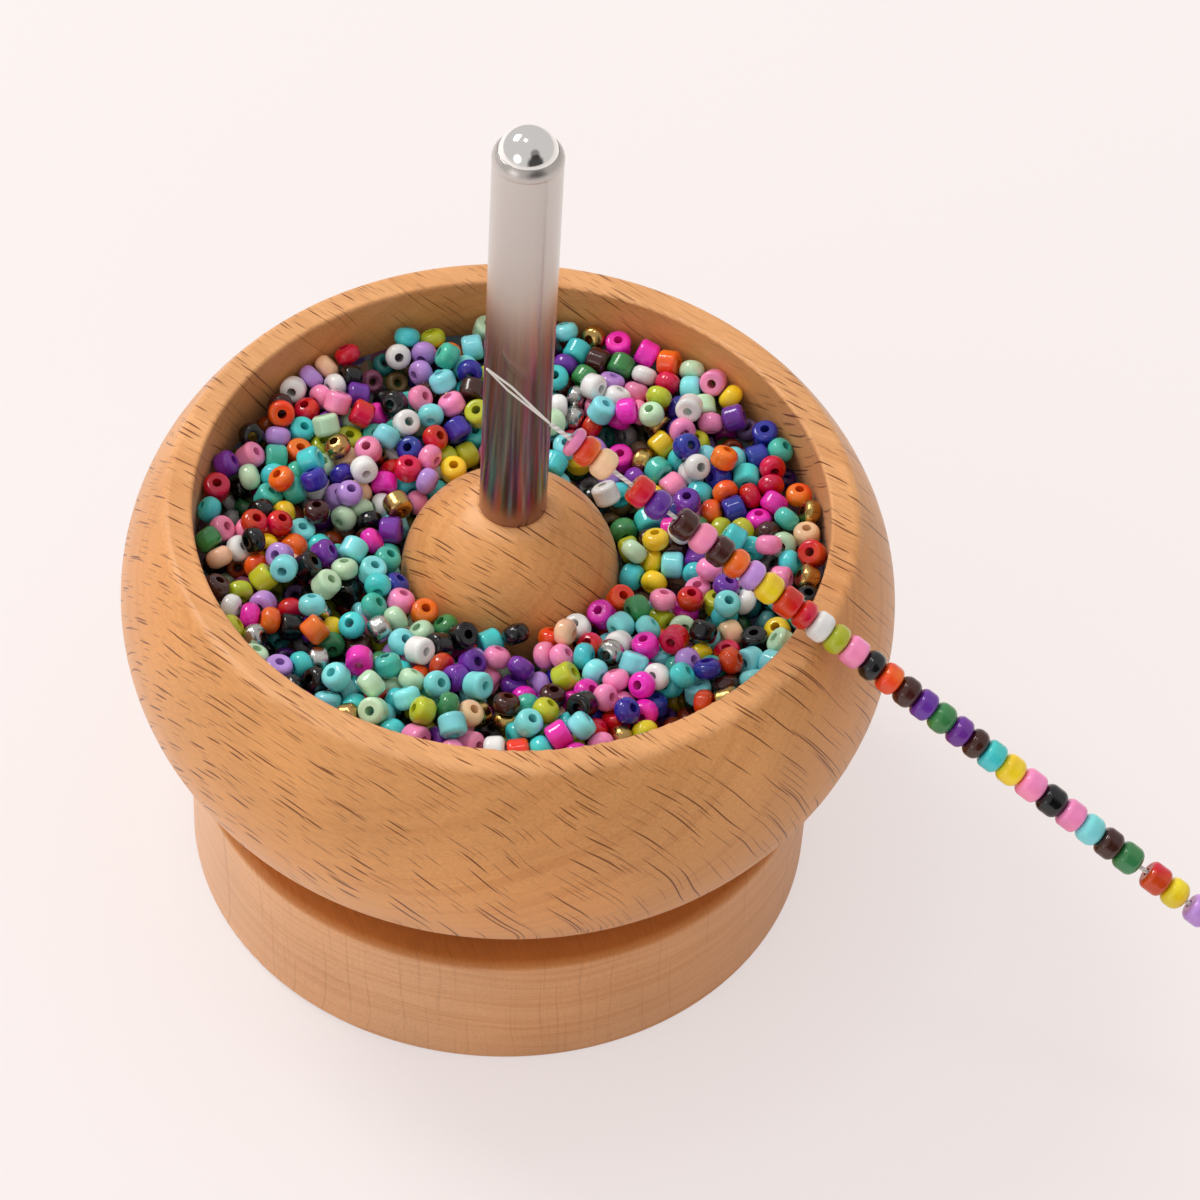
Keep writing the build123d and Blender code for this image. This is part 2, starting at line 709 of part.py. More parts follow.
def main():
    os.makedirs("parts", exist_ok=True)
    write(build_base(), "base_block")
    write(build_spindle(), "spindle")
    write(build_screw(), "spindle_screw")
    write(build_washer(), "spindle_washer")
    write(build_inner_ring(), "bearing_inner_ring")
    write(build_outer_ring(), "bearing_outer_ring")
    write(build_balls(), "bearing_balls")
    write(build_cage(), "bearing_cage")
    write(build_shields(), "bearing_shields")
    write(build_bowl(), "bowl")
    write(build_tube(), "post_tube")
    write(build_post_ball(), "post_ball")
    write(build_bush(), "post_bush")
    write(build_bed(), "bead_bed")
    for name, solids in build_heap().items():
        write(Compound(solids), "beads_" + name)
    groups, last = build_strand()
    for name, solids in groups.items():
        write(Compound(solids), "strand_" + name)
    write(build_needle(), "needle")
    write(build_thread(last), "thread")
    write(build_knot(last), "thread_knot")
    run = last + thread_tail - needle_length
    print("thread length", round(run, 1), "one straight run, no bends")


main()
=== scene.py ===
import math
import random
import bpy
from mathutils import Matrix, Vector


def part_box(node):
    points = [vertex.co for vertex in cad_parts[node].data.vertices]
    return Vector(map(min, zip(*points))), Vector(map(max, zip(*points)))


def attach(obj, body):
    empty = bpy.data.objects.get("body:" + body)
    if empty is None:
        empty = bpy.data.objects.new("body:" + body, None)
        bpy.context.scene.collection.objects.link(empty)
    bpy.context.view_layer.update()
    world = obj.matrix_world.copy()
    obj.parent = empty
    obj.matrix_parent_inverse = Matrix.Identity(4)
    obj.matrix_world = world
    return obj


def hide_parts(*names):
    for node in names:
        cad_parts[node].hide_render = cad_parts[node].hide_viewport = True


bl_info = {
    "name": "Bead Spinner",
    "version": (1, 0, 0),
    "blender": (4, 5, 0),
    "location": "View3D > Sidebar > Bead Spinner",
    "description": "Dresses a turned beech bead spinner, its post, its glass beads and its strung thread",
    "category": "Object",
}

import bpy
from mathutils import Matrix, Vector

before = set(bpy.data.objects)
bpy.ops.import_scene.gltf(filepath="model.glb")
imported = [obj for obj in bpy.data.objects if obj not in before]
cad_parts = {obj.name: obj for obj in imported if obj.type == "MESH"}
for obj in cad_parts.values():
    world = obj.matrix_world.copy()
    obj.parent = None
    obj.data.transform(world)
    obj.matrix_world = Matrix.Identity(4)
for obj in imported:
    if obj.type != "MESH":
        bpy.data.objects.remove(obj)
MM = 0.001
BEAD_COLOURS = (
    "turquoise", "aqua", "teal", "mint", "pink", "magenta", "white", "lilac", "purple", "cobalt",
    "black", "brown", "red", "orange", "yellow", "olive", "green", "peach", "gold", "silver",
)
METAL_BEADS = ("gold", "silver")
GROUND_NODES = ("spindle", "bearing_inner_ring", "bearing_outer_ring")
PLATED_NODES = ("spindle_screw", "spindle_washer", "bearing_shields")
UP = (0, 0, 1)

# Places on the solids where a finish or a painted light changes: the rim's top band is painted paler as
# painted light, the base's top face darker as painted shade under the bowl, the post darker low down as a
# painted reflection of the beads, and the post's lip is rougher
RIM_PAINTED_LIGHT_LOW = 67.7 * MM
BASE_PAINTED_SHADE_LOW = 20.8 * MM
PAINTED_FACE_EDGE = 0.8 * MM
# Below these heights the post's colour is painted darker, as a painted reflection of the beads and hub
POST_PAINTED_REFLECTION_FULL_TOP = 99.0 * MM
POST_PAINTED_REFLECTION_END = 114.0 * MM
POST_LIP = (133.6 * MM, 134.6 * MM)
POST_PAINTED_REFLECTION_SHARES = (0.62, 0.44, 0.41)

# Depths of the fine relief
WOOD_RELIEF = 0.06 * MM
GLASS_RELIEF = 0.06 * MM
STEEL_RELIEF = 0.012 * MM
THREAD_RELIEF = 0.08 * MM
KNOT_RELIEF = 0.1 * MM
HEAP_RELIEF = 1 * MM

# Layers of ray flecks: share of the length, share of the spacing, share left out, strength
FLECK_LAYERS = ((1.0, 1.0, 0.0, 1.0), (0.6, 0.7, 0.1, 0.55))
FLECK_THIN = 0.12
FLECK_DEEP = 0.45
FLECK_FADE = (8 * MM, 24 * MM)

# How far the thread's plies turn in each metre, in radians
THREAD_TWIST = 7000.0

# The room: the side that its light comes from, its level where the camera sees it and where mirrors do,
# and the spots that mirrors show, each with its direction, the cosines where it is whole and where it
# ends, and its change of level
ROOM_SIDE = (-0.89, 0.05, 0.45)
ROOM_IN_VIEW = 0.93
ROOM_IN_MIRRORS = 0.60
ROOM_SPOTS = (
    ((0.480, -0.867, 0.130), 0.940, 0.82, -0.54),
    ((0.440, -0.620, 0.650), 0.985, 0.93, -0.38),
    ((-0.614, -0.735, 0.288), 0.985, 0.955, 1.20),
)

# The heap under the top beads
HUB_RADIUS = 15.8 * MM
HEAP_AT_WALL = 64.5 * MM
HEAP_AT_HUB = 57.9 * MM
ROW_SHARE = 0.87
LOWER_SCATTER = 0.15
LOWER_RISE = 0.35 * MM


def size(name, text, default):
    return bpy.props.FloatProperty(
        name=name, description=text, default=default, unit="LENGTH", precision=5
    )


def share(name, text, default):
    return bpy.props.FloatProperty(
        name=name, description=text, default=default, min=0, max=1, subtype="FACTOR"
    )


def tint(name, text, default):
    return bpy.props.FloatVectorProperty(
        name=name, description=text, default=default, size=3, min=0, max=1, subtype="COLOR"
    )


def way(name, text, default):
    return bpy.props.FloatVectorProperty(
        name=name, description=text, default=default, size=3, subtype="DIRECTION"
    )


def spot(name, text, default):
    return bpy.props.FloatVectorProperty(
        name=name, description=text, default=default, size=3, unit="LENGTH", precision=5
    )


# Settings

class BeechSettings(bpy.types.PropertyGroup):
    """Colour and figure of the turned beech"""
    wood: tint("Beech", "Colour of the planed wood", (0.725, 0.335, 0.112))
    late_wood: tint("Late wood", "Colour of the darker growth lines", (0.540, 0.200, 0.048))
    fleck: tint("Fleck", "Colour of the short ray flecks", (0.210, 0.060, 0.012))
    base_wood: tint("Base beech", "Colour of the paler block of the base", (0.780, 0.430, 0.220))
    # The rim colour is painted light: the bowl's upward-facing top band is painted paler for the light that
    # falls on it
    rim_painted_light: tint("Rim", "Colour of the rim's painted_light, paler band", (0.810, 0.400, 0.160))
    # The base-top colour is painted shade: the top face under the bowl is painted darker and redder for the
    # shade and the bowl's orange bounce light there
    base_top_painted_shade: tint("Base top", "Colour of the base's oiled top face", (0.560, 0.215, 0.056))
    bowl_grain: way("Bowl grain", "Way the fibres run in the bowl", (0.829, -0.559, 0.0))
    bowl_radial: way("Bowl rays", "Way the rays run in the bowl", (0.280, 0.415, -0.865))
    bowl_across: way("Bowl growth lines", "Way across fibres and rays in the bowl", (0.484, 0.718, 0.501))
    base_grain: way("Base grain", "Way the fibres run in the base", (0.350, -0.937, 0.0))
    base_radial: way("Base rays", "Way the rays run in the base", (0.0, 0.0, 1.0))
    base_across: way("Base growth lines", "Way across fibres and rays in the base", (0.937, 0.350, 0.0))
    fleck_length: size("Fleck length", "Length of a ray fleck along the grain", 8.6 * MM)
    fleck_spacing: size("Fleck spacing", "Distance between neighbouring flecks", 1.0 * MM)
    flat_rays: spot("Flat rays", "Where the ray sheets lie flat in the bowl's face", (0.0299, 0.0444, 0.0590))
    ring_width: size("Growth line width", "Distance between growth lines", 1.6 * MM)
    gloss: share("Wood roughness", "How matt the oiled wood is", 0.44)


class SteelSettings(bpy.types.PropertyGroup):
    """Post, cap, spindle and bearing"""
    post: tint("Post steel", "Colour of the tube", (0.60, 0.565, 0.54))
    cap: tint("Cap steel", "Colour of the polished cap", (0.95, 0.94, 0.92))
    dark: tint("Ground steel", "Colour of the spindle and bearing rings", (0.50, 0.50, 0.51))
    zinc: tint("Zinc plate", "Colour of the screw and washer", (0.60, 0.61, 0.60))
    cage: tint("Cage brass", "Colour of the ball cage", (0.62, 0.44, 0.19))
    needle: tint("Needle", "Colour of the bright needle", (0.93, 0.90, 0.85))
    post_roughness: share("Post roughness", "How blurred the tube's reflections are", 0.19)
    cap_roughness: share("Cap roughness", "How blurred the cap's reflections are", 0.08)


class BeadSettings(bpy.types.PropertyGroup):
    """Colours of the glass beads"""
    turquoise: tint("Turquoise", "Opaque glass", (0.060, 0.600, 0.620))
    aqua: tint("Aqua", "Opaque glass", (0.220, 0.740, 0.780))
    teal: tint("Teal", "Opaque glass", (0.060, 0.480, 0.370))
    mint: tint("Mint", "Opaque glass", (0.520, 0.760, 0.500))
    pink: tint("Pink", "Opaque glass", (0.900, 0.260, 0.480))
    magenta: tint("Magenta", "Opaque glass", (0.820, 0.020, 0.440))
    white: tint("White", "Opaque glass", (0.820, 0.815, 0.800))
    lilac: tint("Lilac", "Opaque glass", (0.500, 0.270, 0.700))
    purple: tint("Purple", "Opaque glass", (0.150, 0.025, 0.330))
    cobalt: tint("Cobalt", "Opaque glass", (0.020, 0.020, 0.320))
    black: tint("Black", "Opaque glass", (0.003, 0.003, 0.004))
    brown: tint("Brown", "Dark glass", (0.050, 0.009, 0.006))
    red: tint("Red", "Bright glass", (0.620, 0.006, 0.008))
    orange: tint("Orange", "Opaque glass", (0.840, 0.110, 0.010))
    yellow: tint("Yellow", "Opaque glass", (0.900, 0.640, 0.015))
    olive: tint("Olive", "Yellow-green glass", (0.480, 0.520, 0.020))
    green: tint("Green", "Opaque glass", (0.040, 0.230, 0.070))
    peach: tint("Peach", "Opaque glass", (0.880, 0.560, 0.330))
    gold: tint("Gold", "Metal-coated glass", (0.560, 0.360, 0.120))
    silver: tint("Silver", "Metal-coated glass", (0.600, 0.590, 0.570))
    gloss: share("Bead roughness", "How matt the glass is", 0.10)
    lower_radius: size("Lower bead radius", "Radius of the beads below the top layer", 1.85 * MM)
    lower_depth: size("Lower bead depth", "How far the lower beads lie under the top of the heap", 5.6 * MM)
    lower_step: size("Lower bead spacing", "Distance between the lower beads", 3.5 * MM)


class ThreadSettings(bpy.types.PropertyGroup):
    """Needle and thread"""
    start: spot("Thread start", "Where it leaves the needle", (0.00486108, -0.00867688, 0.09417780))
    near: spot("Thread near the needle", "A point early in its run", (0.00768000, -0.00964160, 0.09253586))
    rim: spot("Thread over the rim", "Where it crosses the rim", (0.04561315, -0.02262413, 0.07044143))
    end: spot("Thread end", "Where it ends in its knot", (0.10256993, -0.04211738, 0.03726650))
    radius: size("Thread radius", "Half of the thread's thickness", 0.32 * MM)
    colour: tint("Thread", "Colour of the thread", (0.93, 0.91, 0.87))


class StageSettings(bpy.types.PropertyGroup):
    """Camera, floor and light"""
    camera_place: spot("Camera", "Place of the camera", (0.013168, -0.423736, 0.519677))
    elevation: bpy.props.FloatProperty(
        name="Elevation", description="How far the camera looks down",
        default=math.radians(47.96), subtype="ANGLE",
    )
    roll: bpy.props.FloatProperty(
        name="Roll", description="How far the camera is turned about its own line of sight",
        default=math.radians(3.88), subtype="ANGLE",
    )
    lens: bpy.props.FloatProperty(
        name="Lens", description="Focal length on a 36 mm sensor", default=131.7405, unit="CAMERA"
    )
    floor: tint("Floor", "Colour of the paper under the object", (0.90, 0.86, 0.85))
    floor_glow: tint("Floor in view", "Colour that lifts the paper's shade in view", (0.930, 0.860, 0.850))
    shade_lift: share("Shade lift", "How much of the paper's shade is lifted in view", 0.62)
    sky: tint("Room light", "Colour of the soft light from all round", (1.0, 0.965, 0.950))
    window_power: bpy.props.FloatProperty(
        name="Window power", description="Power of the soft lamp at the left", default=8.4, unit="POWER"
    )
    ceiling_power: bpy.props.FloatProperty(
        name="Ceiling power", description="Power of the small lamp overhead", default=0.8, unit="POWER"
    )
    room_level: share("Room level", "Strength of the soft light from all round", 0.70)


SETTINGS = {
    "beech_settings": BeechSettings,
    "steel_settings": SteelSettings,
    "bead_settings": BeadSettings,
    "thread_settings": ThreadSettings,
    "stage_settings": StageSettings,
}


# Node helpers

def fill(tree, node, inputs):
    """Link or fill a node's sockets by name or number."""
    for name, value in inputs.items():
        if isinstance(value, bpy.types.NodeSocket):
            tree.links.new(value, node.inputs[name])
        else:
            node.inputs[name].default_value = value


def add(tree, kind, inputs=None, **settings):
    """Add a shader node, set its options, and link or fill its sockets."""
    node = tree.nodes.new(kind)
    for name, value in settings.items():
        setattr(node, name, value)
    fill(tree, node, inputs or {})
    return node


def maths(tree, operation, first, second=0.0, clamp=False):
    sockets = {0: first, 1: second}
    return add(tree, "ShaderNodeMath", sockets, operation=operation, use_clamp=clamp).outputs[0]


def span(tree, value, low, high, to_low=0.0, to_high=1.0, smooth=True):
    sockets = {"Value": value, "From Min": low, "From Max": high, "To Min": to_low, "To Max": to_high}
    kind = "SMOOTHSTEP" if smooth else "LINEAR"
    return add(tree, "ShaderNodeMapRange", sockets, interpolation_type=kind).outputs["Result"]


def mix(tree, amount, low, high, blend="MIX"):
    node = add(tree, "ShaderNodeMix", {0: amount, 6: low, 7: high}, data_type="RGBA", blend_type=blend)
    return node.outputs[2]


def dot(tree, first, second):
    node = add(tree, "ShaderNodeVectorMath", {0: first, 1: second}, operation="DOT_PRODUCT")
    return node.outputs["Value"]


def vector_maths(tree, operation, first, second):
    return add(tree, "ShaderNodeVectorMath", {0: first, 1: second}, operation=operation).outputs[0]


def scaled(tree, first, factor):
    node = add(tree, "ShaderNodeVectorMath", {0: first, "Scale": factor}, operation="SCALE")
    return node.outputs[0]


def vector(tree, x, y, z):
    return add(tree, "ShaderNodeCombineXYZ", {"X": x, "Y": y, "Z": z}).outputs[0]


def grey(tree, level):
    return add(tree, "ShaderNodeCombineColor", {"Red": level, "Green": level, "Blue": level}).outputs[0]


def noise(tree, place, scale, detail=2.0, roughness=0.5):
    """Soft noise, with scale giving its cells for each unit of place."""
    sockets = {"Vector": place, "Scale": scale, "Detail": detail, "Roughness": roughness}
    return add(tree, "ShaderNodeTexNoise", sockets).outputs["Fac"]


def new_group(name, inputs, outputs):
    """Start a node group, and return its tree with its input and output nodes."""
    tree = bpy.data.node_groups.new(name, "ShaderNodeTree")
    for label, kind, value in inputs:
        socket = tree.interface.new_socket(label, in_out="INPUT", socket_type="NodeSocket" + kind)
        if value is not None:
            socket.default_value = value
    for label, kind in outputs:
        tree.interface.new_socket(label, in_out="OUTPUT", socket_type="NodeSocket" + kind)
    return tree, tree.nodes.new("NodeGroupInput").outputs, tree.nodes.new("NodeGroupOutput").inputs


def use_group(tree, name, inputs):
    node = tree.nodes.new("ShaderNodeGroup")
    node.node_tree = bpy.data.node_groups[name]
    fill(tree, node, inputs)
    return node.outputs


def object_place(tree):
    return tree.nodes.new("ShaderNodeTexCoord").outputs["Object"]


def new_material(name):
    """Start a material, and return it with its tree and its surface shader."""
    material = bpy.data.materials.new(name)
    material.use_nodes = True
    tree = material.node_tree
    return material, tree, tree.nodes["Principled BSDF"]


def bump(tree, height, distance):
    return add(tree, "ShaderNodeBump", {"Height": height, "Distance": distance}).outputs[0]


def opaque(colour, level=1.0):
    return (level * colour[0], level * colour[1], level * colour[2], 1.0)


def dress(material, *names):
    """Give a CAD node's mesh its finished material."""
    for name in names:
        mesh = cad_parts[name].data
        mesh.materials.clear()
        mesh.materials.append(material)


# Shared effects

def build_beech_group():
    """Short ray flecks, growth lines, pores and slow changes of tone, all in the wood's own directions."""
    tree, given, out = new_group(
        "Beech figure",
        [
            ("Place", "Vector", None), ("Grain", "Vector", None), ("Rays", "Vector", None),
            ("Across", "Vector", None), ("Wood", "Color", None), ("Late wood", "Color", None),
            ("Fleck", "Color", None), ("Fleck length", "Float", 0.005), ("Fleck spacing", "Float", 0.001),
            ("Ring width", "Float", 0.002), ("Fleck strength", "Float", 1.0), ("Ring strength", "Float", 1.0),
            ("Roughness", "Float", 0.45),
        ],
        [("Color", "Color"), ("Roughness", "Float"), ("Height", "Float")],
    )
    place = given["Place"]
    sway = maths(tree, "SUBTRACT", noise(tree, place, 28.0), 0.5)
    sway = maths(tree, "MULTIPLY", sway, 6 * MM)
    along = dot(tree, place, given["Grain"])
    radial = maths(tree, "ADD", dot(tree, place, given["Rays"]), sway)
    across = maths(tree, "ADD", dot(tree, place, given["Across"]), sway)

    def stretched(long, deep, wide):
        """The place in the wood's own directions, in units of these lengths."""
        return vector(
            tree,
            maths(tree, "DIVIDE", along, long),
            maths(tree, "DIVIDE", radial, deep),
            maths(tree, "DIVIDE", across, wide),
        )

    fleck = 0.0
    for length_share, spacing_share, left_out, strength in FLECK_LAYERS:
        length = maths(tree, "MULTIPLY", given["Fleck length"], length_share)
        spacing = maths(tree, "MULTIPLY", given["Fleck spacing"], spacing_share)
        cell_place = stretched(length, maths(tree, "MULTIPLY", length, 3.0), spacing)
        cell = add(tree, "ShaderNodeTexVoronoi", {"Vector": cell_place, "Scale": 1.0}).outputs
        chance = add(tree, "ShaderNodeSeparateColor", {"Color": cell["Color"]}).outputs
        reach = span(tree, chance[1], 0.0, 1.0, 0.16, 0.40, False)
        away = vector_maths(tree, "SUBTRACT", cell_place, cell["Position"])
        parts = add(tree, "ShaderNodeSeparateXYZ", {0: away}).outputs
        lens = 0.0
        for part, half in zip(parts, (reach, FLECK_DEEP, FLECK_THIN)):
            ratio = maths(tree, "DIVIDE", part, half)
            lens = maths(tree, "ADD", lens, maths(tree, "MULTIPLY", ratio, ratio))
        present = span(tree, chance[0], left_out, left_out + 0.3)
        mask = maths(tree, "MULTIPLY", span(tree, lens, 1.3, 0.4), present)
        fleck = maths(tree, "MAXIMUM", fleck, maths(tree, "MULTIPLY", mask, strength))
    fleck = maths(tree, "MULTIPLY", fleck, given["Fleck strength"], True)

    ring = noise(tree, stretched(90 * MM, given["Ring width"], 50 * MM), 1.0, 3.0, 0.6)
    ring = maths(tree, "MULTIPLY", span(tree, ring, 0.42, 0.72), given["Ring strength"], True)
    pore = noise(tree, stretched(3 * MM, 0.32 * MM, 0.32 * MM), 1.0)
    broad = noise(tree, place, 34.0)

    patch = span(tree, noise(tree, place, 17.0, 1.0), 0.42, 0.66, 0.0, 0.34)
    late = maths(tree, "ADD", maths(tree, "MULTIPLY", ring, 0.45), patch, True)
    colour = mix(tree, late, given["Wood"], given["Late wood"])
    tone = maths(
        tree, "ADD", span(tree, broad, 0.3, 0.7, 0.90, 1.07), span(tree, pore, 0.3, 0.7, -0.07, 0.05)
    )
    colour = mix(tree, 1.0, colour, grey(tree, tone), "MULTIPLY")
    tree.links.new(mix(tree, fleck, colour, given["Fleck"]), out["Color"])

    rough = maths(tree, "ADD", given["Roughness"], span(tree, pore, 0.3, 0.7, -0.05, 0.07))
    tree.links.new(rough, out["Roughness"])
    raised = maths(tree, "MULTIPLY", pore, 0.6)
    tree.links.new(maths(tree, "SUBTRACT", raised, maths(tree, "MULTIPLY", fleck, 0.5)), out["Height"])


def build_handling_group():
    """Faint smears and fine rubbing marks that change how matt a hard surface is."""
    tree, given, out = new_group(
        "Handling marks",
        [
            ("Place", "Vector", None), ("Run", "Vector", (0, 0, 1)), ("Roughness", "Float", 0.1),
            ("Smears", "Float", 0.05), ("Rubbing", "Float", 0.5),
        ],
        [("Roughness", "Float"), ("Height", "Float")],
    )
    place = given["Place"]
    along = dot(tree, place, given["Run"])
    flat = vector_maths(tree, "SUBTRACT", place, scaled(tree, given["Run"], along))
    long = scaled(tree, given["Run"], maths(tree, "MULTIPLY", along, 160.0))
    lines = noise(tree, vector_maths(tree, "ADD", scaled(tree, flat, 5200.0), long), 1.0)
    smear = noise(tree, place, 120.0, 3.0, 0.6)
    rough = maths(tree, "ADD", given["Roughness"], maths(tree, "MULTIPLY", smear, given["Smears"]))
    tree.links.new(rough, out["Roughness"])
    tree.links.new(maths(tree, "MULTIPLY", lines, given["Rubbing"]), out["Height"])


def build_glass_group():
    """Small changes of tone from bead to bead, and a faintly uneven pressed surface."""
    tree, given, out = new_group(
        "Bead glass",
        [
            ("Place", "Vector", None), ("Glass", "Color", None), ("Spread", "Float", 0.12),
            ("Roughness", "Float", 0.14),
        ],
        [("Color", "Color"), ("Roughness", "Float"), ("Height", "Float")],
    )
    place = given["Place"]
    batch = noise(tree, place, 210.0, 1.0)
    hue = span(tree, noise(tree, place, 160.0, 1.0), 0.3, 0.7, 0.485, 0.515)
    change = maths(tree, "MULTIPLY", span(tree, batch, 0.3, 0.7, -1.0, 1.0), given["Spread"])
    value = maths(tree, "ADD", 1.0, change)
    shifted = add(
        tree, "ShaderNodeHueSaturation",
        {"Hue": hue, "Saturation": 1.0, "Value": value, "Color": given["Glass"]},
    ).outputs[0]
    tree.links.new(shifted, out["Color"])
    wave = noise(tree, place, 900.0)
    rough = maths(tree, "ADD", given["Roughness"], span(tree, wave, 0.3, 0.7, -0.04, 0.10))
    tree.links.new(rough, out["Roughness"])
    tree.links.new(wave, out["Height"])


# Materials

def beech_material(name, settings, directions, wood, face_low, face, flecks, rings, ring_width):
    """The wood of one block; from the height face_low up it takes the face colour, which is painted light on
    the bowl's rim and painted shade on the base's top.
    """
    material, tree, surface = new_material(name)
    place = object_place(tree)
    grain, rays, across = directions
    # Mask for the top face, whose colour is painted light on the bowl's rim and painted shade on the base
    painted_face_mask = span(tree, dot(tree, place, UP), face_low, face_low + PAINTED_FACE_EDGE)
    away = add(tree, "ShaderNodeVectorMath", {0: place, 1: settings.flat_rays}, operation="DISTANCE")
    fade = span(tree, away.outputs["Value"], *FLECK_FADE, 0.15, 1.0)
    figure = use_group(tree, "Beech figure", {
        "Place": place, "Grain": grain, "Rays": rays, "Across": across,
        "Wood": mix(tree, painted_face_mask, opaque(wood), opaque(face)),
        "Late wood": opaque(settings.late_wood), "Fleck": opaque(settings.fleck),
        "Fleck length": settings.fleck_length, "Fleck spacing": settings.fleck_spacing,
        "Ring width": ring_width, "Fleck strength": maths(tree, "MULTIPLY", fade, flecks),
        "Ring strength": rings, "Roughness": settings.gloss,
    })
    fill(tree, surface, {
        "Base Color": figure["Color"],
        "Roughness": figure["Roughness"],
        "Normal": bump(tree, figure["Height"], WOOD_RELIEF),
        "Specular IOR Level": 0.30,
        "Sheen Weight": 0.16,
        "Sheen Roughness": 0.35,
        "Coat Weight": 0.08,
        "Coat Roughness": 0.28,
    })
    return material


def steel_material(name, colour, roughness, smears, rubbing, metallic=1.0, tube_with_painted_reflection=False):
    """A metal with faint marks; a tube is painted darker low down as a painted reflection of the beads and
    hub, and is matt at its lip.
    """
    material, tree, surface = new_material(name)
    place = object_place(tree)
    marks = use_group(tree, "Handling marks", {
        "Place": place, "Run": UP, "Roughness": roughness, "Smears": smears, "Rubbing": rubbing,
    })
    base = opaque(colour)
    rough = marks["Roughness"]
    if tube_with_painted_reflection:
        height = dot(tree, place, UP)
        # Painted reflection: the tube's colour is darkened low down, where it reflects the beads and hub
        painted_reflection = [level * channel for level, channel in zip(POST_PAINTED_REFLECTION_SHARES, colour)]
        above_painted_reflection = span(tree, height, POST_PAINTED_REFLECTION_FULL_TOP, POST_PAINTED_REFLECTION_END)
        base = mix(tree, above_painted_reflection, opaque(painted_reflection), base)
        rough = maths(tree, "ADD", rough, span(tree, height, *POST_LIP, 0.0, 0.10))
        fill(tree, surface, {"Anisotropic": 0.6, "Anisotropic Rotation": 0.25})
    fill(tree, surface, {
        "Base Color": base,
        "Metallic": metallic,
        "Roughness": rough,
        "Normal": bump(tree, marks["Height"], STEEL_RELIEF),
    })
    return material


def bead_material(name, colour, roughness):
    material, tree, surface = new_material("Bead " + name)
    glass = use_group(tree, "Bead glass", {
        "Place": object_place(tree), "Glass": opaque(colour), "Spread": 0.14, "Roughness": roughness,
    })
    fill(tree, surface, {
        "Base Color": glass["Color"],
        "Roughness": glass["Roughness"],
        "Normal": bump(tree, glass["Height"], GLASS_RELIEF),
        "Metallic": 1.0 if name in METAL_BEADS else 0.0,
        "Specular IOR Level": 0.5,
        "Coat Weight": 0.0 if name in METAL_BEADS else 0.3,
        "Coat Roughness": 0.04,
    })
    return material


# Operators

class SPINNER_OT_effects(bpy.types.Operator):
    """Build the shared node groups for beech, steel and glass"""
    bl_idname = "spinner.effects"
    bl_label = "Shared effects"
    bl_options = {"REGISTER", "UNDO"}

    def execute(self, context):
        build_beech_group()
        build_handling_group()
        build_glass_group()
        return {"FINISHED"}


